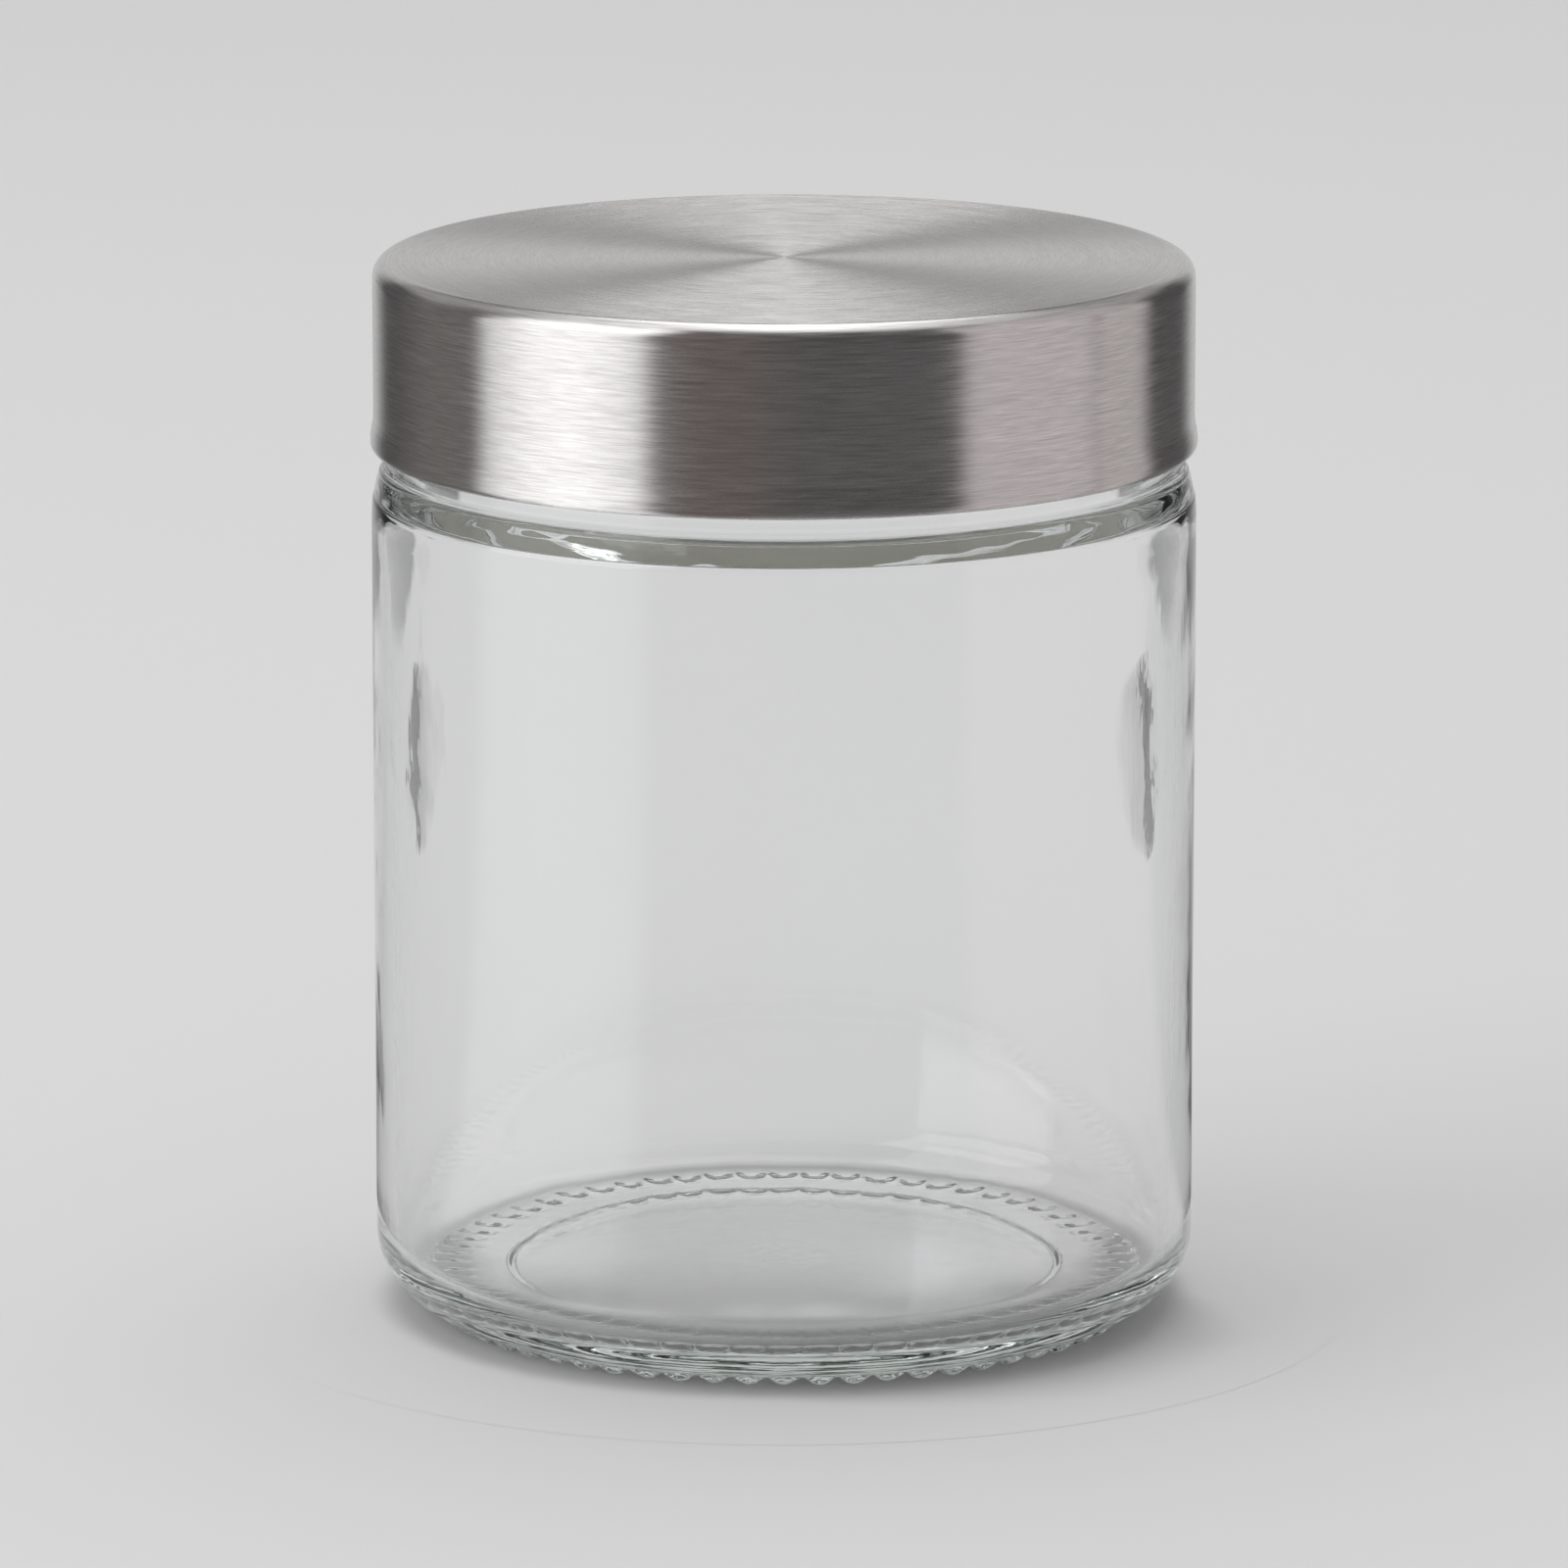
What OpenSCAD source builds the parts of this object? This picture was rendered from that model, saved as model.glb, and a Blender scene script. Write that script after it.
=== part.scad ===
// A round glass storage jar for spices with a brushed steel screw lid.
// Millimetres. Z is up, the jar stands on Z = 0 and its axis is the Z axis.

/* [Glass jar] */
// Outer diameter of the straight glass body
body_d = 70; // [60:1:90]
// Height of the ledge where the neck rises from the shoulder
ledge_h = 73; // [50:1:140]
// Wall thickness just under the shoulder
wall_top = 1.3; // [1.1:0.1:1.8]
// Wall thickness just above the heel
wall_low = 1.8; // [1.5:0.1:2.6]
// Radius of the rounded heel between wall and base
heel_r = 6; // [4:0.5:8]
// Height of the inside floor at its edge
floor_h = 3.7; // [3.2:0.1:6]
// Rise of the inside floor from its edge to its centre
floor_dome = 0.6; // [0.2:0.1:1]
// Radius inside the jar between wall and floor
floor_fillet = 3.3; // [2:0.1:5]
// Radius of the slow inward lean of the shoulder
shoulder_lean_r = 14; // [8:1:20]
// Angle through which the shoulder leans in
shoulder_lean_angle = 16; // [8:1:24]
// Radius of the shoulder's top corner
shoulder_corner_r = 1; // [0.6:0.1:1.4]

/* [Base] */
// Number of bars in the knurled ring that the jar stands on
knurls = 64; // [40:2:72]
// Height of the knurls under the ring
knurl_h = 0.42; // [0.3:0.02:0.5]
// Width of one knurl where it leaves the ring
knurl_w = 2; // [1.4:0.1:2.2]
// Length of a knurl along the radius
knurl_len = 3.4; // [2.6:0.1:4]
// Width of the worn flat under each knurl
knurl_flat_w = 0.7; // [0.4:0.1:1]
// Flat margin between the knurls' outer ends and the heel
knurl_margin = 0.1; // [0.1:0.05:0.5]
// How much of the heel's round the flat ring cuts off
heel_trim = 0.17; // [0.1:0.01:0.3]
// Distance from the knurls' inner ends to the recess under the base
push_up_inset = 3.4; // [1:0.1:6]
// Depth of the recess at its edge
push_up_step = 0.5; // [0.3:0.1:0.9]
// Rise of the recess from its edge to its centre
push_up_dome = 0.4; // [0.2:0.1:1]

/* [Neck] */
// Width of the ledge between the body's side and the neck's foot
ledge_w = 1.8; // [1.7:0.1:2.1]
// Step from the plain ring at the neck's foot in to the neck
neck_step = 1; // [0.8:0.1:1.3]
// Wall thickness of the neck
neck_wall = 1.6; // [1.3:0.1:2.2]
// Distance from the ledge down to where the inside of the shoulder starts
shoulder_depth = 3; // [2.5:0.1:5]
// Rounding of the top edge of the plain ring at the neck's foot
ring_round = 0.4; // [0.2:0.1:0.6]
// Rounding of the rim's two edges
rim_round = 0.5; // [0.3:0.1:0.6]

/* [Lid shell] */
// How far the lid's straight side lies inside the body's side
lid_inset = 0.2; // [0:0.05:0.4]
// Height of the lid
lid_h = 16.1; // [13:0.1:24]
// Open gap between the ledge and the lid's lower edge
lid_gap = 1.4; // [0.8:0.1:2.5]
// Thickness of the steel sheet
sheet = 0.4; // [0.3:0.05:0.5]
// Radius of the lid's top edge
lid_edge_r = 1.5; // [1:0.1:2.5]
// How far the side flares out at the hem
hem_flare = 0.26; // [0.1:0.02:0.5]
// Height of the flare
hem_flare_h = 2.4; // [1.5:0.1:3.5]
// Outer radius of the curl under the side
hem_curl_r = 0.6; // [0.55:0.05:0.8]
// Angle through which the hem curls in under the side
hem_curl_angle = 225; // [180:5:240]

/* [Lid insert and seal] */
// Thickness of the insert's top panel
panel_t = 1.3; // [1:0.1:2]
// Clearance between the insert and the steel shell
shell_clear = 0.15; // [0.1:0.05:0.3]
// Clearance between the insert's skirt and the ring at the neck's foot, seen from above
skirt_clear = 0.2; // [0.1:0.05:0.4]
// Gap between the skirt's lower edge and the ring at the neck's foot
skirt_gap = 0.5; // [0.3:0.1:1]
// Number of grip ribs round the insert's skirt
grip_ribs = 24; // [12:2:48]
// Radius of a grip rib
grip_rib_r = 0.4; // [0.3:0.05:0.6]
// Clearance between a grip rib and the steel shell
grip_clear = 0.03; // [0.02:0.01:0.08]
// Distance of the grip ribs' ends from the skirt's lower edge and from the panel
grip_rib_end = 1; // [0.5:0.1:3]
// Thickness of the ring that centres the seal
plug_t = 1; // [0.8:0.1:1.5]
// Height of the ring that centres the seal
plug_h = 2.2; // [1.6:0.1:3]
// Thickness of the seal
seal_t = 1.2; // [0.8:0.1:2]
// Rounding of the seal's edges
seal_round = 0.3; // [0.1:0.05:0.4]
// Clearance round the seal
seal_clear = 0.35; // [0.3:0.05:0.6]
// How far the seal's inner edge reaches in past the mouth
seal_lap = 0.6; // [0.3:0.1:1]

/* [Hidden] */
$fn = 96;
arc_steps = 8;
curl_steps = 16;
small_steps = 4;
knurl_steps = 5;

// Heights that the pieces share, from the table upwards
lid_low = ledge_h + lid_gap;
skirt_low = lid_low + 2 * hem_curl_r + shell_clear;
neck_ring_top = skirt_low - skirt_gap;
lid_top = lid_low + lid_h;
panel_top = lid_top - sheet;
panel_low = panel_top - panel_t;
rim_h = panel_low - seal_t;

// Radii that the pieces share, from the body's side inwards
body_r = body_d / 2;
shell_r = body_r - lid_inset;
shell_in_r = shell_r - sheet;
skirt_r = shell_in_r - shell_clear;
neck_ring_r = body_r - ledge_w;
skirt_in_r = neck_ring_r + skirt_clear;
seal_r = skirt_in_r - seal_clear;
neck_r = neck_ring_r - neck_step;
mouth_r = neck_r - neck_wall;
seal_in_r = mouth_r - seal_lap;
plug_r = seal_in_r - seal_clear;

// The heel's round, which the flat ring with the knurls cuts off below
heel_x = body_r - heel_r;
heel_z = knurl_h + heel_r - heel_trim;
heel_start = -asin(1 - heel_trim / heel_r);
knurl_out_r = heel_x + heel_r * cos(heel_start) - knurl_margin;
push_up_r = knurl_out_r - knurl_len - push_up_inset;

// A knurl is a bar with a round back and round ends, sunk a little into the ring
knurl_root = 0.15;
knurl_wear_h = 0.05;
knurl_sag = knurl_h + knurl_wear_h;
knurl_r = (knurl_w * knurl_w / 4 + knurl_sag * knurl_sag) / (2 * knurl_sag);
knurl_wear = knurl_r - sqrt(knurl_r * knurl_r - knurl_flat_w * knurl_flat_w / 4);

// The shoulder outside: a slow lean, then a round corner up to the ledge
corner_x = body_r - shoulder_lean_r + (shoulder_lean_r - shoulder_corner_r) * cos(shoulder_lean_angle);
corner_z = ledge_h - shoulder_corner_r;
lean_z = corner_z - (shoulder_lean_r - shoulder_corner_r) * sin(shoulder_lean_angle);

// The shoulder inside: an S from the wall to the mouth
wall_in_r = body_r - wall_top;
low_in_r = body_r - wall_low;
s_r = (wall_in_r - mouth_r) / 2;
s_z = ledge_h - shoulder_depth;

// Points along an arc round (x, z), from angle a to angle b
function arc(x, z, r, a, b, steps = arc_steps) =
    [for (i = [0:steps]) [x + r * cos(a + (b - a) * i / steps), z + r * sin(a + (b - a) * i / steps)]];

// Points of a shallow dome from the axis at height z out to radius r, where it has fallen by drop
function dome(z, r, drop) =
    let (dome_r = (r * r + drop * drop) / (2 * drop))
    arc(0, z - dome_r, dome_r, 90, 90 - asin(r / dome_r));

function reversed(points) = [for (i = [len(points) - 1:-1:0]) points[i]];

// The underside, from the axis to the flat ring: a shallow dome and the recess's rounded edge
base_points = concat(
    dome(knurl_h + push_up_step + push_up_dome, push_up_r - push_up_step, push_up_dome),
    arc(push_up_r - push_up_step, knurl_h, push_up_step, 90, 0, small_steps)
);

// The outside, from the heel to the rim
outside_points = concat(
    arc(heel_x, heel_z, heel_r, heel_start, 0),
    arc(body_r - shoulder_lean_r, lean_z, shoulder_lean_r, 0, shoulder_lean_angle),
    arc(corner_x, corner_z, shoulder_corner_r, shoulder_lean_angle, 90),
    [[neck_ring_r, ledge_h]],
    arc(neck_ring_r - ring_round, neck_ring_top - ring_round, ring_round, 0, 90, small_steps),
    [[neck_r, neck_ring_top]],
    arc(neck_r - rim_round, rim_h - rim_round, rim_round, 0, 90, small_steps)
);

// The inside, from the rim down to the axis: mouth, shoulder, wall, floor
inside_points = concat(
    arc(mouth_r + rim_round, rim_h - rim_round, rim_round, 90, 180, small_steps),
    arc(mouth_r + s_r, s_z + 2 * s_r, s_r, 180, 270),
    arc(wall_in_r - s_r, s_z, s_r, 90, 0),
    arc(low_in_r - floor_fillet, floor_h + floor_fillet, floor_fillet, 0, -90),
    reversed(dome(floor_h + floor_dome, low_in_r - floor_fillet, floor_dome))
);

// The glass jar, blown in a mould: body, shoulder, neck, and a base on a knurled ring
module glass_jar() {
    color([0.82, 0.88, 0.86, 0.45]) {
        rotate_extrude() polygon(concat(base_points, outside_points, inside_points));
        for (i = [0:knurls - 1]) rotate(-90 + i * 360 / knurls) knurl();
    }
}

// One bar of the standing ring, along the radius, worn flat where it meets the table
module knurl() {
    bar_points = concat(
        arc(0, knurl_r, knurl_r, -90, 0, knurl_steps),
        arc(0, knurl_len - knurl_r, knurl_r, 0, 90, knurl_steps)
    );
    intersection() {
        translate([knurl_out_r - knurl_len, 0, knurl_r - knurl_wear])
            rotate([0, 90, 0])
            rotate_extrude()
            polygon(bar_points);
        translate([0, -knurl_w, 0]) cube([body_r, 2 * knurl_w, knurl_h + knurl_root]);
    }
}

// The steel cap, drawn from one sheet, with a flared side and a curled hem
module lid_shell() {
    flare_z = lid_low + hem_curl_r;
    flare_r = (hem_flare * hem_flare + hem_flare_h * hem_flare_h) / (4 * hem_flare);
    flare_a = asin(hem_flare_h / 2 / flare_r);
    curl_x = shell_r + hem_flare - hem_curl_r;
    color([0.74, 0.73, 0.72])
    rotate_extrude() polygon(concat(
        [[0, lid_top]],
        arc(shell_r - lid_edge_r, lid_top - lid_edge_r, lid_edge_r, 90, 0),
        arc(shell_r + flare_r, flare_z + hem_flare_h, flare_r, 180, 180 + flare_a, small_steps),
        arc(shell_r + hem_flare - flare_r, flare_z, flare_r, flare_a, 0, small_steps),
        arc(curl_x, flare_z, hem_curl_r, 0, -hem_curl_angle, curl_steps),
        arc(curl_x, flare_z, hem_curl_r - sheet, -hem_curl_angle, 0, curl_steps),
        arc(shell_r + hem_flare - flare_r - sheet, flare_z, flare_r, 0, flare_a, small_steps),
        arc(shell_in_r + flare_r, flare_z + hem_flare_h, flare_r, 180 + flare_a, 180, small_steps),
        arc(shell_r - lid_edge_r, lid_top - lid_edge_r, lid_edge_r - sheet, 0, 90),
        [[0, panel_top]]
    ));
}

// The moulded inner cap that carries the thread: panel, skirt, centring ring and grip ribs
module lid_insert() {
    corner_r = lid_edge_r - sheet + shell_clear;
    color([0.86, 0.86, 0.84]) {
        rotate_extrude() polygon(concat(
            [[0, panel_top]],
            arc(skirt_r - corner_r, panel_top - corner_r, corner_r, 90, 0),
            [[skirt_r, skirt_low], [skirt_in_r, skirt_low], [skirt_in_r, panel_low], [plug_r, panel_low]],
            arc(plug_r - plug_t / 2, panel_low - plug_h + plug_t / 2, plug_t / 2, 0, -180),
            [[plug_r - plug_t, panel_low], [0, panel_low]]
        ));
        for (i = [0:grip_ribs - 1]) rotate(i * 360 / grip_ribs)
            translate([shell_in_r - grip_clear - grip_rib_r, 0, skirt_low + grip_rib_end])
            cylinder(r = grip_rib_r, h = panel_low - skirt_low - 2 * grip_rib_end);
    }
}

// The flat ring of the seal, between the glass rim and the insert's panel
module lid_seal() {
    color([0.9, 0.9, 0.88])
    rotate_extrude() polygon(concat(
        arc(seal_in_r + seal_round, panel_low - seal_round, seal_round, 180, 90, small_steps),
        arc(seal_r - seal_round, panel_low - seal_round, seal_round, 90, 0, small_steps),
        arc(seal_r - seal_round, rim_h + seal_round, seal_round, 0, -90, small_steps),
        arc(seal_in_r + seal_round, rim_h + seal_round, seal_round, 270, 180, small_steps)
    ));
}

glass_jar();
lid_shell();
lid_insert();
lid_seal();
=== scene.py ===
import math

import bmesh
import bpy
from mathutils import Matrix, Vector


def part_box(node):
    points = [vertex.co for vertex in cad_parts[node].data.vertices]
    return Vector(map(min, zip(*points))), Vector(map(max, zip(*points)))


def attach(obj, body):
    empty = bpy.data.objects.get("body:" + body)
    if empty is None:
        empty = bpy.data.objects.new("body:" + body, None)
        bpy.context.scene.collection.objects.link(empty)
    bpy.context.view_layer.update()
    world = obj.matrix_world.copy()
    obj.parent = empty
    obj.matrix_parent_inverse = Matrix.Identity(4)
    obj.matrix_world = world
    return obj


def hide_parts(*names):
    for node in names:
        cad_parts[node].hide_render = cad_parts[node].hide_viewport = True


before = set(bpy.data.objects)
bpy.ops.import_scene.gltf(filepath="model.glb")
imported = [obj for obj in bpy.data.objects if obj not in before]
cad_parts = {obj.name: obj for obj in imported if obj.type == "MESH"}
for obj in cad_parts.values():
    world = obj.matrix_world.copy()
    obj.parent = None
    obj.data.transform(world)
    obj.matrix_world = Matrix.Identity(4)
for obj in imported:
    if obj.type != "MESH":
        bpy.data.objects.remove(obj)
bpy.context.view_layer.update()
scene = bpy.context.scene

# Studio. The jar stands on a pale matt sweep, as on a photographer's table.
# The camera looks down a little from the front with a long lens, so that the jar's sides stay nearly upright.
jar_low, jar_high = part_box("glass_jar")
shell_low, shell_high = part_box("lid_shell")
body_r = jar_high[0]
lid_top = shell_high[2]

camera_distance = 27.358 * body_r
camera_pitch = math.radians(12.09)
look_at_height = 1.284 * body_r
frame_width_px = 1600
focal_length_px = 11447
camera_data = bpy.data.cameras.new("camera")
camera_data.sensor_width = 36
camera_data.lens = focal_length_px / frame_width_px * camera_data.sensor_width
camera_data.clip_start = 0.01
camera_data.clip_end = 20
camera = bpy.data.objects.new("camera", camera_data)
scene.collection.objects.link(camera)
camera.location = (
    0,
    -camera_distance * math.cos(camera_pitch),
    look_at_height + camera_distance * math.sin(camera_pitch),
)
camera.rotation_euler = (math.pi / 2 - camera_pitch, 0, 0)
scene.camera = camera
scene.view_settings.view_transform = "Standard"
scene.cycles.max_bounces = 32
scene.cycles.transmission_bounces = 32
scene.cycles.glossy_bounces = 16
scene.cycles.diffuse_bounces = 10
scene.cycles.sample_clamp_indirect = 6


def around(azimuth, distance, height):
    """A place at an azimuth in degrees round the jar, where 0 is the camera's side and 90 its right."""
    a = math.radians(azimuth)
    return (distance * math.sin(a), -distance * math.cos(a), height)


def softbox(name, radiance, colour, width, height, place):
    """A soft rectangular lamp that faces the jar and that the camera itself doesn't see."""
    data = bpy.data.lights.new(name, "AREA")
    data.shape = "RECTANGLE"
    data.size = width
    data.size_y = height
    data.energy = radiance * math.pi * width * height
    data.color = colour
    lamp = bpy.data.objects.new(name, data)
    scene.collection.objects.link(lamp)
    lamp.location = place
    lamp.rotation_euler = (Vector((0, 0, look_at_height)) - Vector(place)).to_track_quat("-Z", "Y").to_euler()
    lamp.visible_camera = False
    return lamp


softbox("left_softbox", 1.6, (1, 1, 1), 1.0, 1.0, around(-67, 0.95, 0.52))
softbox("back_softbox", 1.0, (1, 1, 1), 1.3, 0.9, (0, 0.45, 1.2))

world = bpy.data.worlds.new("studio")
scene.world = world
world.use_nodes = True
world.node_tree.nodes["Background"].inputs["Color"].default_value = (1, 1, 1, 1)
world.node_tree.nodes["Background"].inputs["Strength"].default_value = 0.6


def swept(name, line, steps, material, tone=None):
    """A stage piece: a line of (distance, height) swept once round the jar, coloured by tone(azimuth, elevation)."""
    build = bmesh.new()
    colours = build.verts.layers.float_color.new("tone")
    columns = []
    for i in range(steps):
        azimuth = -180 + 360 * i / steps
        column = []
        for distance, height in line:
            spot = build.verts.new(around(azimuth, distance, height))
            if tone:
                elevation = math.degrees(math.atan2(height - lid_top, max(distance, 1e-6)))
                spot[colours] = (*tone(azimuth, elevation, spot.co), 1)
            column.append(spot)
        columns.append(column)
    for i in range(steps):
        left, right = columns[i], columns[(i + 1) % steps]
        for j in range(len(line) - 1):
            build.faces.new((left[j], right[j], right[j + 1], left[j + 1]))
    bmesh.ops.remove_doubles(build, verts=build.verts, dist=1e-6)
    mesh = bpy.data.meshes.new(name)
    build.to_mesh(mesh)
    build.free()
    mesh.shade_smooth()
    mesh.materials.append(material)
    piece = bpy.data.objects.new(name, mesh)
    scene.collection.objects.link(piece)
    return piece


sweep_paint = bpy.data.materials.new("pale_sweep")
sweep_paint.use_nodes = True
sweep_shader = sweep_paint.node_tree.nodes["Principled BSDF"]
sweep_shader.inputs["Base Color"].default_value = (0.6, 0.6, 0.6, 1)
sweep_shader.inputs["Roughness"].default_value = 0.9
sweep_shader.inputs["Specular IOR Level"].default_value = 0
sweep_shader.inputs["Emission Color"].default_value = (1, 1, 1, 1)
sweep_shader.inputs["Emission Strength"].default_value = 0.15
sweep_r, sweep_bend, sweep_top = 2.2, 0.5, 1.5
sweep_line = [(0, 0), (0.3, 0), (1, 0)]
for i in range(11):
    bend = math.pi / 2 * i / 10
    sweep_line.append((sweep_r - sweep_bend + sweep_bend * math.sin(bend), sweep_bend * (1 - math.cos(bend))))
sweep_line.append((sweep_r, sweep_top))
swept("sweep", sweep_line, 96, sweep_paint)

# A thin lit card under the jar, as glass is often photographed, so that the glass floor isn't dark; its glow is painted
# light under the jar, with painted pools of light where thick glass would throw them. Out from under the jar it grows
# as pale as the table, which paints a soft shadow ring on the table round the jar's foot.
glow_r, glow_z = 1.4 * body_r, 0.00005


# x, y and reach of each painted pool of light in mm, how bright it is; below 0 it is a painted patch of shade
painted_light_pools = (
    (-19, -9, 5, -0.11),
    (-18, -17, 4, 0.1),
    (-12, -17, 4, 0.13),
    (-21, 8, 7, 0.06),
    (-8, 2, 5, -0.03),
    (3, 12, 6, 0.03),
    (12, 7, 4, 0.11),
    (12.5, 0, 4, 0.13),
    (11, -6, 4, 0.12),
    (21, -8, 4, -0.14),
    (-3, -15.5, 3.5, 0.15),
    (3, -15, 3, 0.2),
    (8, -17, 3.5, 0.08),
)


def painted_light_and_shadow_tone(x, y):
    """The lit card's tone, painted light and shade: darker in front, with painted pools of light as thick glass would
    throw them, faded at its edge, and outside it a painted shadow round the foot that grows as pale as the table.
    """
    x, y = x * 1000, y * 1000
    tone = 0.17 + 0.21 * min(max((y + 13) / 17, 0), 1)
    for pool_x, pool_y, reach, strength in painted_light_pools:
        tone += strength * math.exp(-(math.dist((x, y), (pool_x, pool_y)) / reach) ** 2)
    tone += 0.16 * min(max((y - 20) / 6, 0), 1)
    edge = 27.5 + 5.2 * min(max(y / 14, 0), 1)
    inside = max(tone, 0) * min(max((edge - math.hypot(x, y)) / 3, 0), 1)
    # painted shadow round the jar's foot: how far out it reaches, further to the right in front
    painted_shadow_reach = 36 + 8 * min(max(x / 25, 0), 1) * min(max(-y / 15, 0), 1)
    t = min(max((math.hypot(x, y) - 32.5) / (painted_shadow_reach - 32.5), 0), 1)
    return inside + 0.15 * t * t * (3 - 2 * t)


glow = bpy.data.materials.new("glow_card")
glow.use_nodes = True
glow_shader = glow.node_tree.nodes["Principled BSDF"]
glow_shader.inputs["Base Color"].default_value = (0.6, 0.6, 0.6, 1)
glow_shader.inputs["Roughness"].default_value = 0.9
glow_shader.inputs["Specular IOR Level"].default_value = 0
glow_shader.inputs["Emission Strength"].default_value = 1
glow_colour = glow.node_tree.nodes.new("ShaderNodeAttribute")
glow_colour.attribute_name = "tone"
glow.node_tree.links.new(glow_colour.outputs["Color"], glow_shader.inputs["Emission Color"])
swept(
    "glow",
    [(glow_r * i / 70, glow_z) for i in range(71)],
    180,
    glow,
    lambda azimuth, elevation, spot: (painted_light_and_shadow_tone(spot.x, spot.y),) * 3,
)

# Cards and softboxes round and over the table, which only reflections see: white to the left and right, black in
# front and behind at the sides, a pale wall behind, and a bright canopy overhead with a strip of it down the back.
card_r, card_wall = 0.3, 0.25
card_black = (0.1, 0.098, 0.098)
# azimuth from and to, elevation from and to, soft edges of both, colour; the later ones lie over the earlier ones
card_patches = (
    (-180, 180, -120, -17, 1, 4, (0.19, 0.19, 0.19)),
    (-122, -90, -120, 50, 20, 6, (0.19, 0.18, 0.175)),
    (-34, -2, -120, 40, 14, 10, (0.17, 0.145, 0.14)),
    (-88.5, -36.5, -120, 58, 6, 6, (0.95, 0.95, 0.95)),
    (-78, -46, -120, 56, 20, 10, (1.4, 1.4, 1.4)),
    (-80, -40, 22, 56, 14, 10, (2.2, 2.2, 2.2)),
    (48.5, 92, -120, 44, 5, 6, (0.66, 0.61, 0.62)),
    (92, 116, -120, 44, 6, 6, (0.6, 0.56, 0.555)),
    (149, 211, -120, 23, 14, 6, (0.58, 0.58, 0.58)),
    (114, 160, 22, 60, 12, 8, (0.4, 0.4, 0.4)),
    (-160, -114, 22, 60, 12, 8, (0.4, 0.4, 0.4)),
)
canopy_low, canopy_front_low, canopy_soft = 49, 66, 14
canopy_edge, canopy_zenith = 0.76, 2.0
strip_half, strip_low, strip_tone = 20, 41, 2.45


def cover(value, low, high, soft):
    """The share of a soft-edged span that lies over a value."""
    return min(max((value - low) / soft + 0.5, 0), 1) * min(max((high - value) / soft + 0.5, 0), 1)


def over(under, share, colour):
    """A colour laid over another with a share."""
    return [u + (c - u) * share for u, c in zip(under, colour)]


def card_tone(azimuth, elevation, spot):
    """The colour of the cards in one direction as seen from the lid."""
    colour = card_black
    for left, right, low, high, soft_across, soft_up, paint in card_patches:
        turn = (azimuth - (left + right) / 2 + 180) % 360 - 180
        half = (right - left) / 2
        colour = over(colour, cover(turn, -half, half, soft_across) * cover(elevation, low, high, soft_up), paint)
    front = min(max((75 - abs(azimuth)) / 40, 0), 1)
    low = canopy_low + (canopy_front_low - canopy_low) * front
    tone = canopy_edge + (canopy_zenith - canopy_edge) * min(max((elevation - 60) / 30, 0), 1)
    colour = over(colour, cover(elevation, low, 200, canopy_soft), (tone, tone, tone))
    strip = cover(180 - abs(azimuth), -strip_half, strip_half, 10) * cover(elevation, strip_low, 200, 6)
    return over(colour, strip, (strip_tone, strip_tone, strip_tone))


card_light = bpy.data.materials.new("card_light")
card_light.use_nodes = True
card_shader = card_light.node_tree.nodes["Principled BSDF"]
card_shader.inputs["Base Color"].default_value = (0, 0, 0, 1)
card_shader.inputs["Specular IOR Level"].default_value = 0
card_shader.inputs["Emission Strength"].default_value = 1
card_colour = card_light.node_tree.nodes.new("ShaderNodeAttribute")
card_colour.attribute_name = "tone"
card_light.node_tree.links.new(card_colour.outputs["Color"], card_shader.inputs["Emission Color"])
card_line = [(0.05 + 0.025 * i, 0.0004) for i in range(11)]
card_line += [(card_r, 0.0125 * i) for i in range(1, 20)]
for i in range(37):
    bend = math.pi / 2 * i / 36
    card_line.append((card_r * math.cos(bend), card_wall + card_r * math.sin(bend)))
cards = swept("cards", card_line, 180, card_light, card_tone)
cards.visible_camera = False
cards.visible_diffuse = False
cards.visible_transmission = False
cards.visible_volume_scatter = False
cards.visible_shadow = False

# Dark flags behind the jar, left and right of what the camera sees, which give clear glass its dark edges. Each side
# has a slim one low down and a broad one higher up; both fade towards their ends.
flag_y = 0.12
slim_low, slim_high, slim_out, slim_wide = 0.0098, 0.0299, 0.0534, 0.0037


def flag_strength(x, z):
    """How dark the flags are at a distance from the middle and a height, 0 where they let all light by."""
    t = (z - slim_low) / (slim_high - slim_low)
    slim = 0
    if 0 < t < 1:
        outer = slim_out - (0.0009 * ((0.47 - t) / 0.4) ** 2 if t < 0.47 else 0.0037 * ((t - 0.47) / 0.51) ** 1.2)
        wide = slim_wide * (4 * t * (1 - t)) ** 0.6
        slim = cover(x, outer - wide, outer, 0.0006)
        slim = max(slim, 0.4 * cover(x, outer - 2.2 * wide, outer, 1.8 * wide))
    inner = 0.049 + 0.009 * min(max((0.04 - z) / 0.008, 0), 1) ** 1.3
    broad = 0.8 * cover(z, 0.0315, 0.2, 0.004) * cover(x, inner, 0.085, 0.003)
    return max(slim, broad)


flag_mesh = bpy.data.meshes.new("flags")
flag_build = bmesh.new()
flag_share = flag_build.verts.layers.float_color.new("share")
for side in (-1, 1):
    rows = []
    for i in range(101):
        row = []
        for j in range(101):
            x, z = 0.04 + 0.0005 * i, 0.0005 * j
            spot = flag_build.verts.new((side * x, flag_y, z))
            strength = flag_strength(x, z)
            spot[flag_share] = (strength, strength, strength, 1)
            row.append(spot)
        rows.append(row)
    for left, right in zip(rows, rows[1:]):
        for j in range(100):
            flag_build.faces.new((left[j], right[j], right[j + 1], left[j + 1]))
flag_build.to_mesh(flag_mesh)
flag_build.free()
flag_black = bpy.data.materials.new("flag_black")
flag_black.use_nodes = True
flag_shader = flag_black.node_tree.nodes["Principled BSDF"]
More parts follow.
